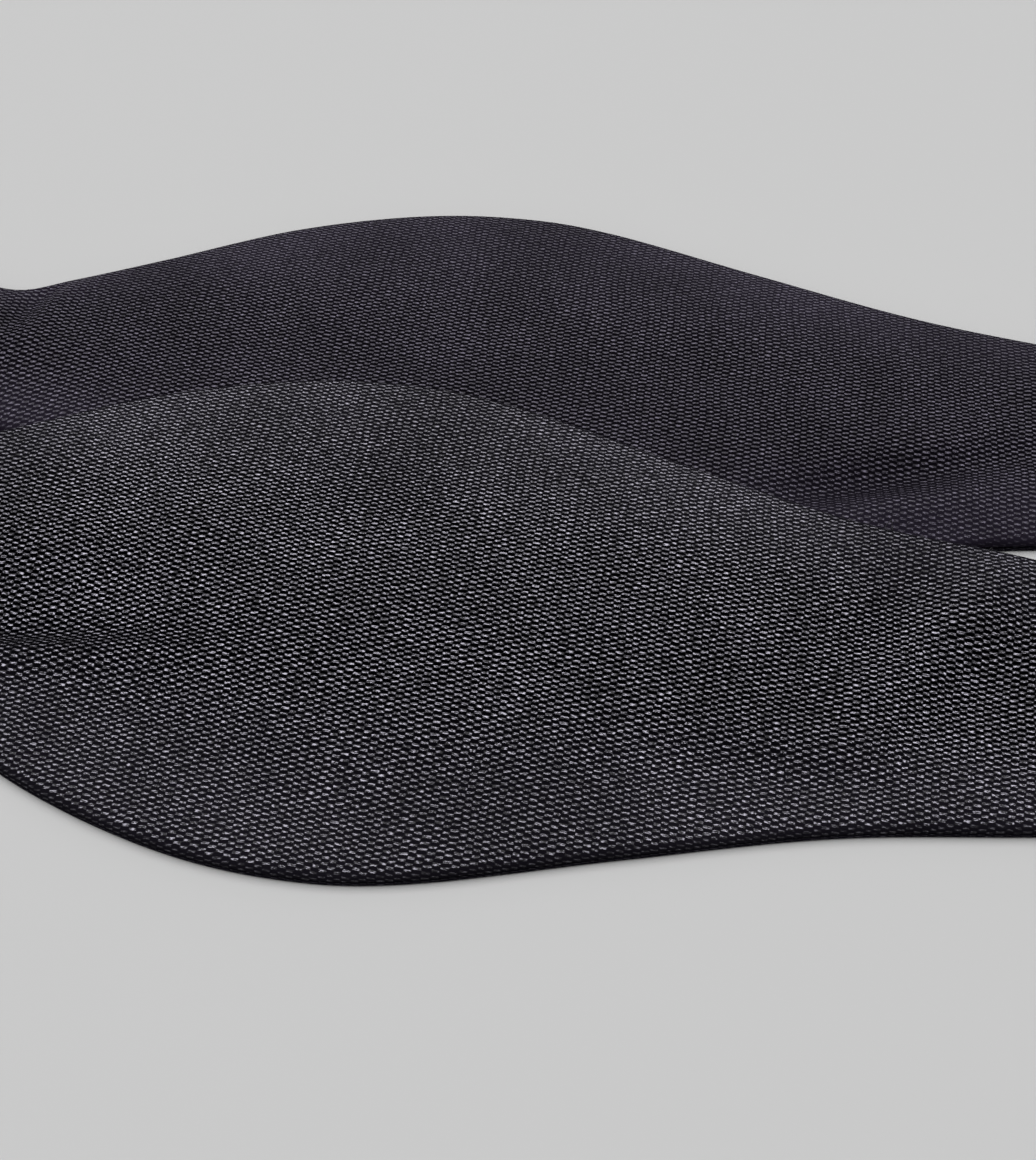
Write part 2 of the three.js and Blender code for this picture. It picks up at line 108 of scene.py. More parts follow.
def silkBarathea(name, body, gap, glint, sheen, depth=0.15, lustre=0.5):
    # woven black silk barathea: weft floats stacked like bricks; the gap colour is painted shade in the
    # recesses between them and the glint colour is a painted highlight on the filaments atop each float
    material, tree = newMaterial(name)
    cloth = addNode(tree, "ShaderNodeUVMap", {"uv_map": "cloth"})
    # the folded mark says where the floats are flattened and painted darker as painted shade: rim walls,
    # creases and the face's underside
    folded = addNode(tree, "ShaderNodeAttribute", {"attribute_name": "folded"})
    # the threads wander and jitter a little, so that no row is ruler straight
    moved = cloth.outputs[0]
    for size, reach in ((0.085, (1.1, 0.6, 0)), (0.75, (0.36, 0.16, 0)), (2.6, (0.16, 0.07, 0))):
        wander = addNode(tree, "ShaderNodeTexNoise", {"noise_dimensions": "2D"},
                         {"Vector": cloth.outputs[0], "Scale": size, "Detail": 1.0})
        centred = addNode(tree, "ShaderNodeVectorMath", {"operation": "SUBTRACT"},
                          {0: wander.outputs["Color"], 1: (0.5, 0.5, 0.5)})
        moved = addNode(tree, "ShaderNodeVectorMath", {"operation": "MULTIPLY_ADD"},
                        {0: centred.outputs[0], 1: reach, 2: moved}).outputs[0]
    axes = addNode(tree, "ShaderNodeSeparateXYZ", None, {0: moved})
    alongTurn = addNode(tree, "ShaderNodeMath", {"operation": "MULTIPLY"},
                        {0: axes.outputs[0], 1: math.pi / weave["column"]})
    acrossTurn = addNode(tree, "ShaderNodeMath", {"operation": "MULTIPLY"},
                         {0: axes.outputs[1], 1: 2 * math.pi / weave["row"]})
    alongWave = addNode(tree, "ShaderNodeMath", {"operation": "COSINE"}, {0: alongTurn.outputs[0]})
    acrossWave = addNode(tree, "ShaderNodeMath", {"operation": "COSINE"}, {0: acrossTurn.outputs[0]})
    # flat-topped along the float, round across it; the next stack sits half a row further
    squared = addNode(tree, "ShaderNodeMapRange", {"interpolation_type": "LINEAR"},
                      {"Value": alongWave.outputs[0], "From Min": -0.55, "From Max": 0.55,
                       "To Min": -1, "To Max": 1})
    brick = addNode(tree, "ShaderNodeMath", {"operation": "MULTIPLY"},
                    {0: squared.outputs[0], 1: acrossWave.outputs[0]})
    # marked places get flatter, rougher, less glossy floats and show more of the painted shade colour
    flattenedAndShaded = addNode(tree, "ShaderNodeMapRange", None,
                      {"Value": folded.outputs["Fac"], "To Min": 0.7, "To Max": 2.3})
    height = addNode(tree, "ShaderNodeMapRange", {"interpolation_type": "SMOOTHSTEP"},
                     {"Value": brick.outputs[0], "From Min": -0.3, "From Max": flattenedAndShaded.outputs[0]})
    # painted highlight: bright filament glints are painted into the colour on the tops of the floats
    filaments = addNode(tree, "ShaderNodeMapping", None, {"Vector": moved, "Scale": (2.4, 8.5, 1.0)})
    strands = addNode(tree, "ShaderNodeTexNoise", {"noise_dimensions": "2D"},
                      {"Vector": filaments.outputs[0], "Scale": 1.0, "Detail": 2.0, "Roughness": 0.6})
    bright = addNode(tree, "ShaderNodeMapRange", {"interpolation_type": "SMOOTHSTEP"},
                     {"Value": strands.outputs["Fac"], "From Min": 0.47, "From Max": 0.66})
    onTop = addNode(tree, "ShaderNodeMath", {"operation": "POWER"}, {0: height.outputs[0], 1: 2.0})
    # painted light: towards the rims the colour is painted paler, the painted glints dimmer and the painted
    # shade between the floats lighter
    rimPaintedLight = addNode(tree, "ShaderNodeAttribute", {"attribute_name": "rimPaintedLight"})
    rimGlintDimming = addNode(tree, "ShaderNodeMapRange", None,
                     {"Value": rimPaintedLight.outputs["Fac"], "To Min": 1.08, "To Max": 0.62})
    rimShadeLift = addNode(tree, "ShaderNodeMapRange", None,
                     {"Value": rimPaintedLight.outputs["Fac"], "To Min": 0.0, "To Max": 0.7})
    glints = addNode(tree, "ShaderNodeMath", {"operation": "MULTIPLY"},
                     {0: bright.outputs[0], 1: onTop.outputs[0]})
    shine = addNode(tree, "ShaderNodeMath", {"operation": "MULTIPLY"},
                    {0: glints.outputs[0], 1: rimGlintDimming.outputs[0]})
    # painted shade: the gap colour is painted into the recesses between the floats, lifted towards the rims
    between = addNode(tree, "ShaderNodeMix", {"data_type": "RGBA"},
                      {"Factor": rimShadeLift.outputs[0], "A": hexColour(gap), "B": hexColour(body)})
    ground = addNode(tree, "ShaderNodeMix", {"data_type": "RGBA"},
                     {"Factor": height.outputs[0], "A": between.outputs["Result"], "B": hexColour(body)})
    # the thread colour carries the painted glints on top of the float and gap colours
    thread = addNode(tree, "ShaderNodeMix", {"data_type": "RGBA"},
                     {"Factor": shine.outputs[0], "A": ground.outputs["Result"], "B": hexColour(glint)})
    broad = addNode(tree, "ShaderNodeTexNoise", {"noise_dimensions": "2D"},
                    {"Vector": cloth.outputs[0], "Scale": 0.06, "Detail": 2.0})
    handled = addNode(tree, "ShaderNodeMapRange", None,
                      {"Value": broad.outputs["Fac"], "From Min": 0.3, "From Max": 0.7,
                       "To Min": 0.8, "To Max": 1.18})
    paler = addNode(tree, "ShaderNodeMath", {"operation": "MULTIPLY_ADD"},
                    {0: rimPaintedLight.outputs["Fac"], 1: 0.3, 2: 1.0})
    tone = addNode(tree, "ShaderNodeMath", {"operation": "MULTIPLY"},
                   {0: handled.outputs[0], 1: paler.outputs[0]})
    colour = addNode(tree, "ShaderNodeVectorMath", {"operation": "SCALE"},
                     {0: thread.outputs["Result"], "Scale": tone.outputs[0]})
    rough = addNode(tree, "ShaderNodeMapRange", None,
                    {"Value": height.outputs[0], "To Min": 0.9, "To Max": 0.42})
    gloss = addNode(tree, "ShaderNodeMapRange", None,
                    {"Value": height.outputs[0], "To Min": 0.0, "To Max": lustre})
    relief = addNode(tree, "ShaderNodeMath", {"operation": "MULTIPLY_ADD"},
                     {0: strands.outputs["Fac"], 1: 0.3, 2: height.outputs[0]})
    bump = addNode(tree, "ShaderNodeBump", None,
                   {"Strength": 1.0, "Distance": depth * mm, "Height": relief.outputs[0]})
    shader = addNode(tree, "ShaderNodeBsdfPrincipled", None,
                     {"Base Color": colour.outputs[0], "Roughness": rough.outputs[0],
                      "Normal": bump.outputs[0], "Specular IOR Level": gloss.outputs[0], "IOR": 1.5,
                      "Sheen Weight": sheen, "Sheen Roughness": 0.4, "Sheen Tint": hexColour("#9c98a4")})
    addNode(tree, "ShaderNodeOutputMaterial", None, {"Surface": shader.outputs[0]})
    return material


def canvasInterlining(name):
    # wool interlining canvas: off-white, plain woven, matt and slightly hairy
    material, tree = newMaterial(name)
    place = addNode(tree, "ShaderNodeTexCoord")
    grid = addNode(tree, "ShaderNodeMapping", None,
                   {"Vector": place.outputs["Object"], "Scale": (2400, 2400, 2400)})
    check = addNode(tree, "ShaderNodeTexWave", None,
                    {"Vector": grid.outputs[0], "Scale": 1.0, "Distortion": 1.0})
    hairs = addNode(tree, "ShaderNodeTexNoise", None,
                    {"Vector": place.outputs["Object"], "Scale": 900, "Detail": 3.0})
    mixed = addNode(tree, "ShaderNodeMath", {"operation": "ADD"},
                    {0: check.outputs["Fac"], 1: hairs.outputs["Fac"]})
    colour = addNode(tree, "ShaderNodeMix", {"data_type": "RGBA"},
                     {"Factor": hairs.outputs["Fac"], "A": hexColour("#b9b2a0"), "B": hexColour("#e2dccd")})
    bump = addNode(tree, "ShaderNodeBump", None,
                   {"Strength": 0.5, "Distance": 0.1 * mm, "Height": mixed.outputs[0]})
    shader = addNode(tree, "ShaderNodeBsdfPrincipled", None,
                     {"Base Color": colour.outputs["Result"], "Roughness": 0.92, "Normal": bump.outputs[0]})
    addNode(tree, "ShaderNodeOutputMaterial", None, {"Surface": shader.outputs[0]})
    return material


def nickelSteel(name):
    # nickel plated pressed steel: bright, tumbled smooth, with faint rolling lines and handling marks
    material, tree = newMaterial(name)
    place = addNode(tree, "ShaderNodeTexCoord")
    lines = addNode(tree, "ShaderNodeMapping", None,
                    {"Vector": place.outputs["Object"], "Scale": (300, 6000, 3000)})
    rolled = addNode(tree, "ShaderNodeTexNoise", None,
                     {"Vector": lines.outputs[0], "Scale": 1.0, "Detail": 2.0})
    marks = addNode(tree, "ShaderNodeTexNoise", None,
                    {"Vector": place.outputs["Object"], "Scale": 420, "Detail": 4.0})
    rough = addNode(tree, "ShaderNodeMapRange", None,
                    {"Value": marks.outputs["Fac"], "From Min": 0.3, "From Max": 0.7,
                     "To Min": 0.16, "To Max": 0.34})
    colour = addNode(tree, "ShaderNodeMix", {"data_type": "RGBA"},
                     {"Factor": marks.outputs["Fac"], "A": hexColour("#b9b7b3"), "B": hexColour("#d6d5d3")})
    bump = addNode(tree, "ShaderNodeBump", None,
                   {"Strength": 0.15, "Distance": 0.02 * mm, "Height": rolled.outputs["Fac"]})
    shader = addNode(tree, "ShaderNodeBsdfPrincipled", None,
                     {"Base Color": colour.outputs["Result"], "Metallic": 1.0, "Roughness": rough.outputs[0],
                      "Normal": bump.outputs[0]})
    addNode(tree, "ShaderNodeOutputMaterial", None, {"Surface": shader.outputs[0]})
    return material


def spunThread(name, code):
    # spun polyester thread: twisted, matt, with a fine diagonal ply
    material, tree = newMaterial(name)
    place = addNode(tree, "ShaderNodeTexCoord")
    ply = addNode(tree, "ShaderNodeTexWave", {"bands_direction": "DIAGONAL"},
                  {"Vector": place.outputs["Object"], "Scale": 1500, "Distortion": 0.6})
    colour = addNode(tree, "ShaderNodeMix", {"data_type": "RGBA"},
                     {"Factor": ply.outputs["Fac"], "A": hexColour("#0c0c0e"), "B": hexColour(code)})
    bump = addNode(tree, "ShaderNodeBump", None,
                   {"Strength": 0.6, "Distance": 0.05 * mm, "Height": ply.outputs["Fac"]})
    shader = addNode(tree, "ShaderNodeBsdfPrincipled", None,
                     {"Base Color": colour.outputs["Result"], "Roughness": 0.7, "Normal": bump.outputs[0],
                      "Sheen Weight": 0.3, "Sheen Roughness": 0.5})
    addNode(tree, "ShaderNodeOutputMaterial", None, {"Surface": shader.outputs[0]})
    return material


# copies of one silk: the far face has dimmer painted glints, lighter painted shade and a paler body,
# standing in for the different light on the far blade; the band's painted glints are dimmed to match
silkFace = silkBarathea("silk barathea, near face", "#17151b", "#000001", "#d6d2e2", 0.015)
silkFarFace = silkBarathea("silk barathea, far face", "#201c26", "#0a080d", "#7d7789", 0.02, 0.07, 0.28)
silkBack = silkBarathea("silk barathea, back panel", "#17151c", "#000001", "#a4a0b0", 0.02)
silkBand = silkBarathea("silk barathea, neckband", "#17151c", "#000001", "#b4b0c0", 0.02)
canvas = canvasInterlining("wool interlining canvas")
steel = nickelSteel("nickel plated steel")
blackThread = spunThread("spun polyester thread, black", "#2a2a2e")
print("materials made")

# the outline is mm along the blade from its middle, and half its width there
blade = {
    "outline": [(-124, 29.3), (-111, 31.6), (-97, 28.7), (-80, 19.1), (-66, 12.4), (-57, 9.6), (-50, 12.6),
                (-40, 17.9), (-25, 26.1), (-10, 31.0), (3, 32.3), (15, 30.7), (34, 24.8), (54, 18.9),
                (75, 15.1), (98, 10.4)],
    "corner": 8.0, "rim": 1.3, "crown": 1.5, "seam": 0.08, "roll": 0.34, "tuck": 0.2, "thicken": 2.5,
    "padInset": 2.2, "stations": 190, "rows": 58,
}
lap = {"lift": 3.3, "run": 34.0, "end": 20.0}  # mm: the near blade climbs stiffly onto the far one
farBlade = {"x": -6.9, "y": 29.6, "heading": math.radians(-7.8)}
nearBlade = {"x": -19.8, "y": -5.6, "heading": math.radians(-9.7)}


def splineThrough(points, count):
    # smooth curve through the points, the same way the pattern was drawn
    pts = np.array(points, float)
    last = len(pts) - 1
    out = []
    for k in range(count + 1):
        at = k / count * last
        i = min(int(at), last - 1)
        w = at - i
        p1, p2 = pts[i], pts[i + 1]
        p0 = pts[i - 1] if i > 0 else p1
        p3 = pts[i + 2] if i + 2 <= last else p2
        v0, v1 = (p2 - p0) / 2, (p3 - p1) / 2
        cubic, square = 2 * p1 - 2 * p2 + v0 + v1, -3 * p1 + 3 * p2 - 2 * v0 - v1
        out.append(cubic * w ** 3 + square * w ** 2 + v0 * w + p1)
    return np.array(out)


outlineSamples = splineThrough(blade["outline"], 600)
bladeEnd, bladeRoot = blade["outline"][0][0], blade["outline"][-1][0]


def halfWidth(t):
    t = np.asarray(t, float)
    width = np.interp(t, outlineSamples[:, 0], outlineSamples[:, 1])
    into = np.clip(blade["corner"] - (t - bladeEnd), 0, blade["corner"])
    return width - blade["corner"] + np.sqrt(blade["corner"] ** 2 - into ** 2)


def onBlade(place, t, n):
    c, s = math.cos(place["heading"]), math.sin(place["heading"])
    return place["x"] + c * t - s * n, place["y"] + s * t + c * n


def fromBlade(place, x, y):
    c, s = math.cos(place["heading"]), math.sin(place["heading"])
    dx, dy = x - place["x"], y - place["y"]
    return c * dx + s * dy, -s * dx + c * dy


# where the tie lies in the model: the far blade's outline against its packed box
ts = np.linspace(bladeEnd, bladeRoot, 800)
outlineXY = np.array([onBlade(farBlade, ts, side * halfWidth(ts)) for side in (-1, 1)])
lowest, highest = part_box("far_blade_back")
offset = np.array([
    (lowest[0] + highest[0]) / 2 / mm - (outlineXY[:, 0].min() + outlineXY[:, 0].max()) / 2,
    (lowest[1] + highest[1]) / 2 / mm - (outlineXY[:, 1].min() + outlineXY[:, 1].max()) / 2,
])
print("layout offset", offset)


def toModel(x, y, z):
    return np.stack([(x + offset[0]) * mm, (y + offset[1]) * mm, np.asarray(z) * mm], axis=-1)


def hollow(t, n, t0, n0, lengthways, sideways, turn, depth):
    # a soft dip (or swelling, with a negative depth) in the cloth
    c, s = math.cos(turn), math.sin(turn)
    a = ((t - t0) * c + (n - n0) * s) / lengthways
    b = (-(t - t0) * s + (n - n0) * c) / sideways
    return -depth * np.exp(-(a * a + b * b) / 2)


def dented(t, n, dents):
    return sum(hollow(t, n, *dent) for dent in dents)


# each dent: its place along and across, its reach both ways, its turn and its depth
nearRipples = [
    # the crease running in from the waist, with the cloth risen on both sides of it
    (-34, -6.6, 14, 3.6, 0.12, 0.95), (-34, -9.5, 14, 1.2, 0.12, 0.5), (-33, -12.4, 14, 1.5, 0.12, -1.15),
    (-30, 2, 14, 4.5, 0.14, -0.35),
    # a dimple by the near edge
    (49, -13.6, 7, 1.7, 0.04, 0.6), (49, -9.8, 9, 2.6, 0.04, -0.3),
    # a twist where the blade narrows towards the band
    (63, 5, 2.6, 9, -0.6, -0.7), (70, 3, 2.6, 9, -0.6, 0.5), (55, 4, 3.5, 9, -0.6, 0.45),
    # broad waves from handling
    (12, 10, 16, 7, 0.3, -0.4), (-8, -21, 18, 5, -0.2, 0.4), (28, -12, 12, 4, 0.3, -0.3),
    (80, 12, 9, 6, 0.0, -0.7), (-95, 4, 12, 7, 0.4, -0.4),
]
farRipples = [
    # a dip beside the near blade, where it presses
    (46.5, -11.2, 10, 2.0, 0.36, 1.4), (50, -14.2, 9, 2.2, 0.3, -0.8), (63, -4.6, 8, 1.6, 0.36, 0.35),
    # a pucker at the waist
    (-53.5, 7.0, 1.2, 4.5, -0.25, 0.9), (-50.3, 6.5, 1.6, 4.5, -0.25, -0.45),
    # broad waves from handling
    (-25, 14, 14, 5, 0.4, -0.35), (20, 18, 16, 5, -0.3, -0.4), (-98, -4, 12, 8, 0.4, -0.4),
]
# painted shade: the cloth is painted darker, with flatter floats, along the steep side of each crease and
# more faintly in a few broad patches; on the far blade, in the dip beside the near blade
nearPaintedShade = [(-32, -10.6, 14, 1.35, 0.12, 0.6), (49, -12.6, 8, 1.0, 0.04, 0.08),
              (1, 16, 9, 6.5, 0.3, 0.12), (59, 11, 2.2, 8, -0.5, 0.14)]
farPaintedShade = [(47, -12.3, 9, 1.4, 0.36, 0.45)]


def crownOver(q):
    return blade["crown"] * np.sqrt(np.clip(1 - q * q, 0, 1))


def liesOnTable(x, y):
    return np.zeros_like(x)


def liesOnFarBlade(x, y):
    t, n = fromBlade(farBlade, x, y)
    edge = halfWidth(np.clip(t, bladeEnd, bladeRoot))
    inside = np.minimum(edge - np.abs(n), t - bladeEnd)
    toBand = bladeRoot - fromBlade(nearBlade, x, y)[0]
    return lap["lift"] * smooth(1 + inside / lap["run"]) * smooth(toBand / lap["end"])


def bladePanel(name, place, base, ripples, paintedShade, spread, layerKind, material):
    # rows over the width and at the end lie close together where the rims roll over
    rimSteps = np.array([0.0, 0.03, 0.1, 0.22, 0.38, 0.58, 0.85, 1.25, 1.8])
    endSteps = np.array([0.0, 0.04, 0.14, 0.3, 0.5, 0.8, 1.3])
    middle = np.linspace(-1, 1, blade["rows"])
    stations = np.concatenate([bladeEnd + endSteps, np.linspace(bladeEnd + 2, bladeRoot, blade["stations"])])
    inset = 0.0
    if layerKind == "pad":
        inset = blade["padInset"]
        stations = stations[(stations > bladeEnd + 3) & (stations < bladeRoot - 2)]
    alongRows, acrossRows = [], []
    for t in stations:
        half = float(halfWidth(t)) - inset
        inner = half - rimSteps[-1] - 0.6
        n = np.concatenate([-half + rimSteps, middle * inner, (half - rimSteps)[::-1]])
        alongRows.append(np.full_like(n, t))
        acrossRows.append(n)
    along, across = np.array(alongRows), np.array(acrossRows)
    half = halfWidth(along)
    q = np.clip(np.abs(across) / half, 0, 1)
    out = sum(amount * np.clip(side * across / half, 0, 1) * np.exp(-((along - at) / reach) ** 2) * side
              for at, reach, side, amount in spread)
    x, y = onBlade(place, along, across + out)
    ground = base(x, y)
    reach = np.minimum(half - np.abs(across), along - bladeEnd)
    fade = smooth((half - np.abs(across)) / 3.5) * smooth((along - bladeEnd) / 10)
    fade *= smooth((bladeRoot - along) / 12)
    wrinkle = dented(along, across, ripples) * fade
    swell = crownOver(q) * smooth((along - bladeEnd + 1.0) / 9)
    roll, tuck = blade["roll"], blade["tuck"]
    into = np.clip(roll - reach, 0, roll)
    rolled = roll - np.sqrt(roll ** 2 - into ** 2)
    under = np.clip(tuck - reach, 0, tuck)
    tucked = tuck - np.sqrt(tuck ** 2 - under ** 2)
    # the three layers part from the seam and reach their full thickness a little way in
    split = blade["rim"] / 2
    thicken = smooth(reach / blade["thicken"])
    raised = np.maximum(swell + wrinkle - 0.15, 0) * thicken
    if layerKind == "face":
        top = ground + blade["rim"] + swell + wrinkle - rolled
        bottom = ground + split + blade["seam"] + raised + tucked
    elif layerKind == "back":
        top = ground + split - blade["seam"] - 0.12 * thicken - tucked
        bottom = ground + rolled * 0.9
    else:
        bottom = ground + split - blade["seam"] - 0.1
        top = np.maximum(ground + split + blade["seam"] + raised - 0.05, bottom + 0.02)
    # the weave follows the cloth down over its rolled rim; there the floats are flattened and the rim wall
    # is painted darker as painted shade, and the face's underside is marked in full
    wrap = np.sign(across) * (np.abs(across) + rolled + tucked)
    if layerKind == "face":
        # the listed dents add painted shade, with flatter floats, at the creases and patches
        flattenedAndShaded = smooth((0.6 - reach) / 0.35) - dented(along, across, paintedShade)
    else:
        flattenedAndShaded = smooth((2.0 - reach) / 1.2)
    underside = np.ones(along.size) if layerKind == "face" else flattenedAndShaded.ravel()
    rows, width = along.shape
    points = np.concatenate([toModel(x, y, bottom).reshape(-1, 3), toModel(x, y, top).reshape(-1, 3)])
    uvs = np.tile(np.stack([along, wrap], axis=-1).reshape(-1, 2), (2, 1))
    # the first mark flattens the floats and paints shade; the second paints the rims lighter, with dimmer
    # painted glints and lighter painted shade
    marks = {"folded": np.concatenate([underside, flattenedAndShaded.ravel()]),
             "rimPaintedLight": np.tile(smooth((q - 0.25) / 0.65).ravel(), 2)}
    count = rows * width
    faces = []
    for i in range(rows - 1):
        for j in range(width - 1):
            a, b = i * width + j, (i + 1) * width + j
            faces.append((a, a + 1, b + 1, b))
            faces.append((count + a, count + b, count + b + 1, count + a + 1))
    rim = list(range(width - 1)) + [i * width + width - 1 for i in range(rows - 1)]
    rim += [(rows - 1) * width + j for j in range(width - 1, 0, -1)]
    rim += [i * width for i in range(rows - 1, 0, -1)]
    for k, a in enumerate(rim):
        b = rim[(k + 1) % len(rim)]
        faces.append((a, count + a, count + b, b))
    return makeObject(name, points, faces, uvs, material, marks)


# where the cloth has spread a little past its pattern: place along, run, side, amount in mm
nearSpread = [(-50, 7, 1, 0.9), (-50, 7, -1, 0.9), (74, 14, 1, 1.4)]
farSpread = [(-53, 9, -1, 2.8)]
for side, place, base, ripples, paintedShade, spread in (
        ("far", farBlade, liesOnTable, farRipples, farPaintedShade, farSpread),
        ("near", nearBlade, liesOnFarBlade, nearRipples, nearPaintedShade, nearSpread)):
    faceSilk = silkFace if side == "near" else silkFarFace
    for kind, node, material in (
            ("back", "back", silkBack), ("pad", "interlining", canvas), ("face", "face", faceSilk)):
        piece = bladePanel(f"{side}_{node}_cloth", place, base, ripples, paintedShade, spread, kind, material)
        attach(piece, "root")
        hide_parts(f"{side}_blade_{node}")
print("blades made")

band = {"width": 20.4, "height": 2.8, "wall": 0.5, "round": 1.25, "core": 0.8, "coreRound": 0.55}
# mm along each blade's axis; the strap and the tab are tucked into band ends with no interlining
run = {"nearStraight": 254.0, "twist": 50.0, "eyeEnd": 190.0, "bandStart": 98.3, "shortEnd": 118.7,
       "tucked": 7.3, "padStart": 2.0}


def axesOf(place):
    along = np.array([math.cos(place["heading"]), math.sin(place["heading"])])
    return along, np.array([-along[1], along[0]])


nearLeft = axesOf(nearBlade)[1]
farAlong, farLeft = axesOf(farBlade)
turnStart = np.array(onBlade(nearBlade, run["nearStraight"], 0.0))
farOrigin = np.array([farBlade["x"], farBlade["y"]])
turnRadius = float((farOrigin - turnStart) @ farLeft / (1 + nearLeft @ farLeft))
turnAngle = math.pi + farBlade["heading"] - nearBlade["heading"]
turnCentre = turnStart + nearLeft * turnRadius
farStraight = float((turnCentre + farLeft * turnRadius - farOrigin) @ farAlong)
outLength = run["nearStraight"] - run["bandStart"]
arcLength = turnRadius * turnAngle
bandLength = outLength + arcLength + farStraight - run["eyeEnd"]


def inBand(a, b, s):
    # a across the band, b through it, s along it: flat, then on edge round the turn, then flat again
    angle = nearBlade["heading"] + np.clip(s - outLength, 0, arcLength) / turnRadius
    along = np.stack([np.cos(angle), np.sin(angle)], -1)
    left = np.stack([-along[..., 1], along[..., 0]], -1)
    beyond = (np.minimum(s, outLength) - outLength + np.maximum(s - outLength - arcLength, 0))[..., None]
    centre = turnCentre - left * turnRadius + along * beyond
    roll = math.pi / 2 * (smooth((s - outLength + run["twist"]) / run["twist"])
                          - smooth((s - outLength - arcLength) / run["twist"]))
    middle = band["width"] / 2 * np.sin(roll) + band["height"] / 2 * np.cos(roll)
    sideways = a * np.cos(roll) - b * np.sin(roll)
    place = centre + left * sideways[..., None]
    return toModel(place[..., 0], place[..., 1], middle + a * np.sin(roll) + b * np.cos(roll))


def inFlatBand(a, b, s):
    x, y = onBlade(farBlade, s, a)
    return toModel(x, y, b + band["height"] / 2)


def roundedSection(width, height, corner, count=10):
    # closed outline of a flat strip with round rims, anticlockwise seen along the strip
    points = []
    for quarter in range(4):
        turn = quarter * math.pi / 2
        cx = (width / 2 - corner) * (1 if quarter in (0, 3) else -1)
        cy = (height / 2 - corner) * (1 if quarter < 2 else -1)
        for k in range(count):
            angle = turn + math.pi / 2 * k / (count - 1)
            points.append((cx + corner * math.cos(angle), cy + corner * math.sin(angle)))
        if quarter in (0, 2):
            side = 1 if quarter == 0 else -1
            span = width - 2 * corner
            for k in range(1, 16):
                points.append((side * (span / 2 - span * k / 16), side * height / 2))
    return np.array(points)


def tubeFaces(steps, count, base=0, capped=True):
    # quads round a tube made of rings of points, and its two ends
    faces = []
    for k in range(steps):
        for i in range(count):
            a, b = base + k * count + i, base + k * count + (i + 1) % count
            faces.append((a, b, b + count, a + count))
    if capped:
        faces.append(tuple(base + i for i in range(count - 1, -1, -1)))
        faces.append(tuple(base + steps * count + i for i in range(count)))
    return faces


def distances(points):
    return np.concatenate([[0], np.cumsum(np.hypot(*np.diff(points, axis=0).T))])


def unit(vectors):
    return vectors / np.linalg.norm(vectors, axis=1)[:, None]


def sweep(name, section, hole, start, length, place, material, puff, pitch=1.0):
    # cloth swept along its course, solid or with an open bore; puff moves the surface in and out a little
    steps = max(int(round(length / pitch)), 2)
    course = start + length * np.arange(steps + 1) / steps
    rings, count = ([section, hole] if hole is not None else [section]), len(section)
    points, uvs = [], []
    for ring in rings:
        along, across = np.meshgrid(course, ring[:, 0], indexing="ij")
        through = np.broadcast_to(ring[:, 1], along.shape)
        around = np.broadcast_to(distances(ring), along.shape)
        swell = puff(along, across) * np.sign(through) * smooth(np.abs(through) / ring[:, 1].max())
        points.append(place(across, through + swell, along).reshape(-1, 3))
        uvs.append(np.stack([along, around], -1).reshape(-1, 2))
    faces = tubeFaces(steps, count, 0, hole is None)
    if hole is not None:
        size, last = (steps + 1) * count, steps * count
        faces += [(face[0],) + face[:0:-1] for face in tubeFaces(steps, count, size, False)]
        for i in range(count):
            j = (i + 1) % count
            faces.append((i, size + i, size + j, j))
            faces.append((last + i, last + j, size + last + j, size + last + i))
    piece = makeObject(name, np.concatenate(points), faces, np.concatenate(uvs), material)
    makeOutward(piece)
    return piece


def makeOutward(piece):
    mesh = bmesh.new()
    mesh.from_mesh(piece.data)
    bmesh.ops.recalc_face_normals(mesh, faces=mesh.faces)
    mesh.to_mesh(piece.data)
    mesh.free()


def bandPuff(s, a):
    return 0.05 * np.sin(s * 0.21 + a * 0.4) + 0.04 * np.sin(s * 0.083 - a * 0.9 + 1.3)


def still(s, a):
    return 0 * s


def dress(piece, node):
    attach(piece, "root")
    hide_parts(node)


wall, skin = band["wall"], band["core"]
outer = roundedSection(band["width"], band["height"], band["round"])
inner = roundedSection(band["width"] - 2 * wall, band["height"] - 2 * wall, band["round"] - wall)
core = roundedSection(band["width"] - 2 * skin, band["height"] - 2 * skin, band["coreRound"])
# the cloth is folded round the interlining and slip-stitched down the middle of its back
bandSeam = np.exp(-((outer[:, 0] - 1.5) / 0.35) ** 2) * (outer[:, 1] < 0)
outer[:, 1] += 0.22 * bandSeam

bandSteps = round(bandLength / 6.5)  # whole steps of the band, which the interlining and labels share
bandPitch = bandLength / bandSteps
padEnd = math.ceil(run["tucked"] / bandPitch)
longBand = sweep("neckband_cloth_folded", outer, inner, 0.0, bandLength, inBand, silkBand, bandPuff)
dress(longBand, "neckband_cloth")
padLength = (bandSteps - 1 - padEnd) * bandPitch
longPad = sweep("neckband_interlining_strip", core, None, bandPitch, padLength, inBand, canvas, still)
dress(longPad, "neckband_interlining")

shortLength = run["shortEnd"] - run["bandStart"]
shortBand = sweep("short_band_cloth_folded", outer, inner, run["bandStart"], shortLength, inFlatBand,
                  silkBand, bandPuff, 0.8)
dress(shortBand, "short_band_cloth")
shortPadLength = shortLength - run["padStart"] - run["tucked"]
shortPad = sweep("short_band_interlining_strip", core, None, run["bandStart"] + run["padStart"],
                 shortPadLength, inFlatBand, canvas, still)
dress(shortPad, "short_band_interlining")
print("neckband made")


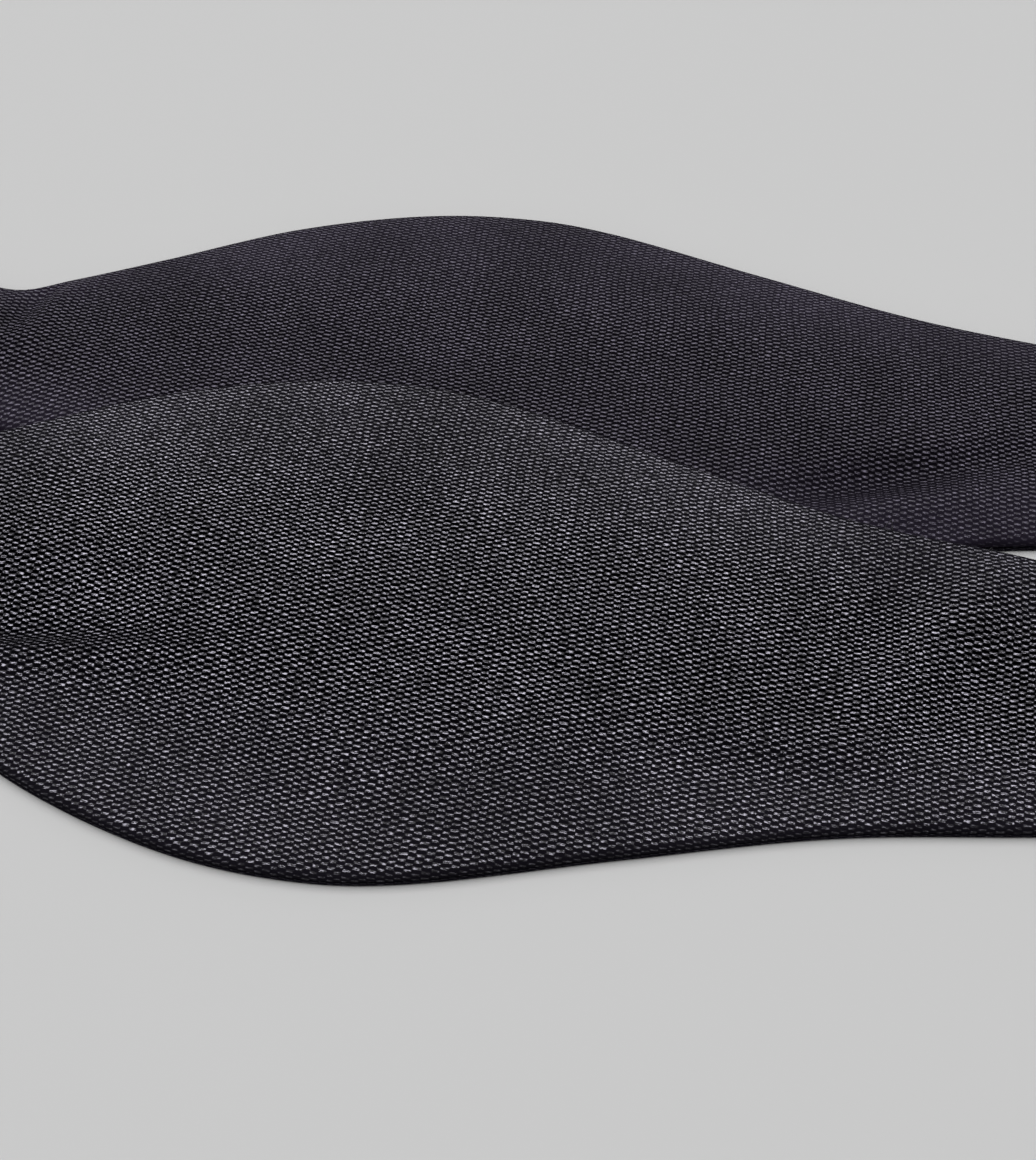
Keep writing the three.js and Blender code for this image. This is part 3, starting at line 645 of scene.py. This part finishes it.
def damaskLabel(name, code):
    # woven damask label, blank: black satin with fine weft ribs and woven edges
    material, tree = newMaterial(name)
    cloth = addNode(tree, "ShaderNodeUVMap", {"uv_map": "cloth"})
    ribs = addNode(tree, "ShaderNodeTexWave", {"bands_direction": "Y"},
                   {"Vector": cloth.outputs[0], "Scale": 0.9, "Distortion": 0.6, "Detail": 1.0})
    threads = addNode(tree, "ShaderNodeTexNoise", {"noise_dimensions": "2D"},
                      {"Vector": cloth.outputs[0], "Scale": 5.0})
    colour = addNode(tree, "ShaderNodeMix", {"data_type": "RGBA"},
                     {"Factor": ribs.outputs["Fac"], "A": hexColour("#09090b"), "B": hexColour(code)})
    relief = addNode(tree, "ShaderNodeMath", {"operation": "MULTIPLY_ADD"},
                     {0: threads.outputs["Fac"], 1: 0.4, 2: ribs.outputs["Fac"]})
    bump = addNode(tree, "ShaderNodeBump", None,
                   {"Strength": 0.6, "Distance": 0.06 * mm, "Height": relief.outputs[0]})
    shader = addNode(tree, "ShaderNodeBsdfPrincipled", None,
                     {"Base Color": colour.outputs["Result"], "Roughness": 0.42, "Normal": bump.outputs[0],
                      "Sheen Weight": 0.15})
    addNode(tree, "ShaderNodeOutputMaterial", None, {"Surface": shader.outputs[0]})
    return material


labelSatin = damaskLabel("damask label, black satin", "#1f1f23")
label = {"width": 14.0, "thick": 0.3, "gap": 0.3, "round": 0.14, "maker": 34, "care": 13}
labelSection = roundedSection(label["width"], label["thick"], label["round"], 5)
makerSteps, careSteps = round(label["maker"] / bandPitch), round(label["care"] / bandPitch)
makerStart = round((outLength + arcLength / 2 - label["maker"] / 2) / bandPitch)


def onInside(a, b, s):
    return inBand(a, b - band["height"] / 2 - label["gap"] - label["thick"] / 2, s)


for name, node, first, steps in (("maker_label_blank", "maker_label", makerStart, makerSteps),
                                 ("care_label_blank", "care_label", makerStart + makerSteps + 1, careSteps)):
    piece = sweep(name, labelSection, None, first * bandPitch, steps * bandPitch, onInside, labelSatin,
                  still, 0.7)
    dress(piece, node)
print("labels made")

# mm: the bars' places are along the far blade's axis, the heights above the table
strap = {"width": 17.6, "thick": 0.9, "low": 1.0, "slideBar": 146.0, "hookBar": 158.0, "eyeBar": 180.0,
         "foldHeight": 2.6, "foldRadius": 1.15, "tailHeight": 3.8}
strapMiddle = strap["low"] + strap["thick"] / 2
foldRadius = strap["foldRadius"]
returnMiddle = strap["foldHeight"] + foldRadius


def strapPath(points, pitch=0.35):
    # even steps along a course drawn in the side view, with its way round each bar
    course = np.array(points, float)
    away = distances(course)
    steps = np.linspace(0, away[-1], int(round(away[-1] / pitch)) + 1)
    return np.stack([np.interp(steps, away, course[:, 0]), np.interp(steps, away, course[:, 1])], -1), steps


def halfTurn(x, z, radius, start, turn):
    angles = [start + turn * k / 24 for k in range(25)]
    return [(x + radius * math.cos(angle), z + radius * math.sin(angle)) for angle in angles]


def strapPiece(name, points, material):
    course, away = strapPath(points)
    heading = unit(np.gradient(course, axis=0))
    normal = np.stack([-heading[:, 1], heading[:, 0]], -1)
    section = roundedSection(strap["width"], strap["thick"], 0.4, 5)
    around = distances(section)
    count, steps = len(section), len(course) - 1
    rings, uvs = [], []
    for k, at in enumerate(course):
        # the cut ends are a little thinner and narrower
        cut = k in (0, steps)
        through, across = section[:, 1] * (1 - 0.06 * cut), section[:, 0] * (1 - 0.01 * cut)
        x, y = onBlade(farBlade, at[0] + normal[k, 0] * through, across)
        rings.append(toModel(x, y, at[1] + normal[k, 1] * through))
        uvs.append(np.stack([np.full(count, away[k]), around], -1))
    piece = makeObject(name, np.concatenate(rings), tubeFaces(steps, count), np.concatenate(uvs), material)
    makeOutward(piece)
    return piece, float(away[-1])


strapCourse = [(run["shortEnd"] - 7, strapMiddle)]
strapCourse += halfTurn(strap["hookBar"], strap["foldHeight"], foldRadius, -math.pi / 2, math.pi)
strapCourse += [(strap["hookBar"] - 1.3, returnMiddle)]
piece, length = strapPiece("adjuster_strap_doubled", strapCourse, silkBand)
dress(piece, "adjuster_strap")

tabCourse = [(run["eyeEnd"] + 7, strapMiddle)]
tabCourse += halfTurn(strap["eyeBar"], strap["foldHeight"], foldRadius, -math.pi / 2, -math.pi)
tabCourse += [(run["eyeEnd"] - 1.6, returnMiddle)]
piece, length = strapPiece("eye_tab_doubled", tabCourse, silkBand)
dress(piece, "eye_tab")

# the tail goes over the slide's bar and is sewn back under itself; in the tie it lengthens as the slide
# travels, but here it is built at one length
tailCourse = [(strap["hookBar"] - 1.6, returnMiddle), (strap["slideBar"] + 3.4, 4.95)]
tailCourse += halfTurn(strap["slideBar"] - 0.4, strap["tailHeight"], foldRadius, math.pi / 2, math.pi)
tailCourse += [(strap["slideBar"] + 7, 2.65)]
piece, length = strapPiece("strap_tail_doubled", tailCourse, silkBand)


def onFarAxis(t, n, z):
    x, y = onBlade(farBlade, t, n)
    return toModel(np.array(x), np.array(y), z).tolist()


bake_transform(piece)
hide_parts("strap_tail")
print("straps made")

# stamped steel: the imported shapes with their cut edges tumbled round
hardware = {"edge": 0.16, "segments": 3}
for node, body in (("slide_adjuster", "slide"), ("neck_hook", "hook"), ("neck_eye", "eye")):
    mesh = bmesh.new()
    mesh.from_mesh(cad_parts[node].data)
    bmesh.ops.remove_doubles(mesh, verts=mesh.verts, dist=1e-6)
    bmesh.ops.dissolve_limit(mesh, angle_limit=math.radians(2), verts=mesh.verts, edges=mesh.edges)
    sharp = [e for e in mesh.edges if len(e.link_faces) == 2 and e.calc_face_angle() > math.radians(25)]
    bmesh.ops.bevel(mesh, geom=sharp, offset=hardware["edge"] * mm, segments=hardware["segments"],
                    affect="EDGES", profile=0.5, clamp_overlap=True)
    shaped = bpy.data.meshes.new(node + "_stamped")
    mesh.to_mesh(shaped)
    mesh.free()
    shaped.polygons.foreach_set("use_smooth", [True] * len(shaped.polygons))
    shaped.materials.append(steel)
    piece = bpy.data.objects.new(node + "_stamped", shaped)
    bpy.context.scene.collection.objects.link(piece)
    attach(piece, body)
    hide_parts(node)
print("hardware made")


def stitchTree():
    # a row of threads laid side by side: count, pitch, reach of each stitch, its rise, the thread's radius
    tree = bpy.data.node_groups.new("stitch row", "GeometryNodeTree")
    face = tree.interface
    sockets = {}
    for title, kind in (("Count", "Int"), ("Pitch", "Float"), ("Reach", "Float"), ("Rise", "Float"),
                        ("Thread", "Float"), ("Seed", "Int"), ("Material", "Material")):
        sockets[title] = face.new_socket(title, in_out="INPUT", socket_type="NodeSocket" + kind).identifier
    face.new_socket("Geometry", in_out="OUTPUT", socket_type="NodeSocketGeometry")
    given = tree.nodes.new("NodeGroupInput")
    half = addNode(tree, "ShaderNodeMath", {"operation": "MULTIPLY"}, {0: given.outputs["Reach"], 1: 0.5})
    back = addNode(tree, "ShaderNodeMath", {"operation": "MULTIPLY"}, {0: given.outputs["Reach"], 1: -0.5})
    start = addNode(tree, "ShaderNodeCombineXYZ", None, {"X": back.outputs[0]})
    top = addNode(tree, "ShaderNodeCombineXYZ", None, {"Z": given.outputs["Rise"]})
    end = addNode(tree, "ShaderNodeCombineXYZ", None, {"X": half.outputs[0]})
    arch = addNode(tree, "GeometryNodeCurveQuadraticBezier", None,
                   {"Resolution": 7, "Start": start.outputs[0], "Middle": top.outputs[0],
                    "End": end.outputs[0]})
    strand = addNode(tree, "GeometryNodeCurvePrimitiveCircle", None,
                     {"Resolution": 8, "Radius": given.outputs["Thread"]})
    stitch = addNode(tree, "GeometryNodeCurveToMesh", None,
                     {"Curve": arch.outputs[0], "Profile Curve": strand.outputs[0], "Fill Caps": True})
    step = addNode(tree, "ShaderNodeCombineXYZ", None, {"Y": given.outputs["Pitch"]})
    row = addNode(tree, "GeometryNodeMeshLine", None,
                  {"Count": given.outputs["Count"], "Offset": step.outputs[0]})
    lean = addNode(tree, "FunctionNodeRandomValue", {"data_type": "FLOAT"},
                   {2: -0.16, 3: 0.16, "Seed": given.outputs["Seed"]})
    turn = addNode(tree, "ShaderNodeCombineXYZ", None, {"Z": lean.outputs[1]})
    rows = addNode(tree, "GeometryNodeInstanceOnPoints", None,
                   {"Points": row.outputs[0], "Instance": stitch.outputs[0], "Rotation": turn.outputs[0]})
    real = addNode(tree, "GeometryNodeRealizeInstances", None, {0: rows.outputs[0]})
    smoothed = addNode(tree, "GeometryNodeSetShadeSmooth", None, {0: real.outputs[0]})
    painted = addNode(tree, "GeometryNodeSetMaterial", None,
                      {"Geometry": smoothed.outputs[0], "Material": given.outputs["Material"]})
    result = tree.nodes.new("NodeGroupOutput")
    tree.links.new(painted.outputs[0], result.inputs[0])
    return tree, sockets


stitches, stitchSockets = stitchTree()


def stitchRow(name, values):
    holder = bpy.data.objects.new(name, bpy.data.meshes.new(name))
    bpy.context.scene.collection.objects.link(holder)
    modifier = holder.modifiers.new("stitches", "NODES")
    modifier.node_group = stitches
    for key, value in values.items():
        modifier[stitchSockets[key]] = value
    bpy.context.view_layer.update()
    made = bpy.data.meshes.new_from_object(holder.evaluated_get(bpy.context.evaluated_depsgraph_get()))
    holder.modifiers.clear()
    holder.data = made
    return holder


# bar tacks across the straps: place along the far blade's axis, and height of the cloth below
tack = {"length": 12.0, "width": 1.4, "thread": 0.13, "pitch": 0.3, "inset": 0.3, "rise": 0.24}
for node, body, t, z in (("eye_bar_tack", "root", run["eyeEnd"] - 5.1, 4.5),
                         ("strap_bar_tack", "root", run["shortEnd"] - 3.5, 3.1),
                         ("tail_bar_tack", "slide", strap["slideBar"] + 2.7, 5.7)):
    count = int((tack["length"] - tack["inset"]) / tack["pitch"])
    piece = stitchRow(node + "_zigzag", {
        "Count": count, "Pitch": tack["pitch"] * mm, "Reach": (tack["width"] - tack["inset"]) * mm,
        "Rise": tack["rise"] * mm, "Thread": tack["thread"] * mm, "Seed": 4, "Material": blackThread})
    place = onFarAxis(t, -(count - 1) * tack["pitch"] / 2, z + tack["thread"])
    piece.data.transform(Matrix.Translation(place) @ Matrix.Rotation(farBlade["heading"], 4, "Z"))
    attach(piece, body)
    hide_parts(node)
print("stitches made")

# a few filaments sprung out of the near blade's far edge: place along, how far out, how high, lean along
fibres = [(56.2, 0.5, 1.5, 1.1), (57.4, 0.3, 0.9, -0.9), (67.0, 0.7, 1.2, 0.7), (80.5, 0.6, 1.0, 1.4),
          (34.0, 0.3, 0.7, -0.8)]


def fibreMesh(radius=0.03, sides=6, steps=14):
    points, faces = [], []
    for t, out, rise, lean in fibres:
        k = np.linspace(0, 1, steps + 1)
        bow = np.sin(k * math.pi)
        edge = float(halfWidth(t)) - 0.35
        x, y = onBlade(nearBlade, t + lean * k + 0.25 * bow, edge + out * bow)
        z = liesOnFarBlade(x, y) + blade["rim"] - 0.15 + rise * bow
        course = np.stack([x, y, z], -1)
        heading = unit(np.gradient(course, axis=0))
        side = unit(np.cross(heading, (0.2, 0.3, 1.0)))
        up = np.cross(side, heading)
        faces += tubeFaces(steps, sides, len(points))
        for centre, a, b in zip(course, side, up):
            for i in range(sides):
                angle = 2 * math.pi * i / sides
                p = centre + radius * (math.cos(angle) * a + math.sin(angle) * b)
                points.append(toModel(p[0], p[1], p[2]))
    return points, faces


points, faces = fibreMesh()
piece = makeObject("near_blade_stray_fibres", points, faces, None, blackThread)
makeOutward(piece)
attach(piece, "root")
print("fibres made")

# matt backdrop paper, pulp pressed smooth and laid under the tie
floorMaterial = bpy.data.materials.new("matt paper backdrop")
floorMaterial.use_nodes = True
shader = floorMaterial.node_tree.nodes["Principled BSDF"]
shader.inputs["Base Color"].default_value = hexColour("#cfcfcf")
shader.inputs["Roughness"].default_value = 0.9
shader.inputs["Specular IOR Level"].default_value = 0.1
corners = [(-3, -3, 0), (3, -3, 0), (3, 3, 0), (-3, 3, 0)]
floor = makeObject("floor", corners, [(0, 1, 2, 3)], None, floorMaterial)

world = bpy.data.worlds.new("soft studio")
bpy.context.scene.world = world
world.use_nodes = True
world.node_tree.nodes["Background"].inputs[0].default_value = (1, 1, 1, 1)
world.node_tree.nodes["Background"].inputs[1].default_value = 0.3


def softbox(name, place, aim, size, power):
    light = bpy.data.lights.new(name, "AREA")
    light.shape = "RECTANGLE"
    light.size, light.size_y = size
    light.energy = power
    lamp = bpy.data.objects.new(name, light)
    lamp.location = place
    lamp.rotation_euler = (Vector(aim) - Vector(place)).to_track_quat("-Z", "Y").to_euler()
    bpy.context.scene.collection.objects.link(lamp)
    return lamp


overhead = softbox("overhead softbox", (0.0, 0.1, 1.1), (0, 0, 0), (1.7, 1.3), 11.7)
overhead.visible_glossy = False
softbox("left fill", (-1.2, -0.2, 0.7), (0, 0, 0), (0.8, 0.8), 1.8)
# a reflector behind, seen only in the sheen of the silk and metal
reflector = softbox("back reflector", (0.1, 2.0, 2.2), (0, 0, 0), (3.4, 0.8), 38)
reflector.visible_diffuse = False
bpy.context.scene.view_settings.view_transform = "Standard"

view = {"height": 149.2, "pitch": 48.1, "focal": 1870.0, "frameHeight": 1160.0, "sensor": 36.0}
pitch = math.radians(view["pitch"])
cameraData = bpy.data.cameras.new("camera")
cameraData.sensor_width = view["sensor"]
cameraData.lens = view["sensor"] * view["focal"] / view["frameHeight"]
cameraData.clip_start = 0.005
camera = bpy.data.objects.new("camera", cameraData)
camera.location = toModel(0.0, -view["height"] / math.tan(pitch), view["height"])
camera.rotation_euler = (math.pi / 2 - pitch, 0, 0)
bpy.context.scene.collection.objects.link(camera)
bpy.context.scene.camera = camera
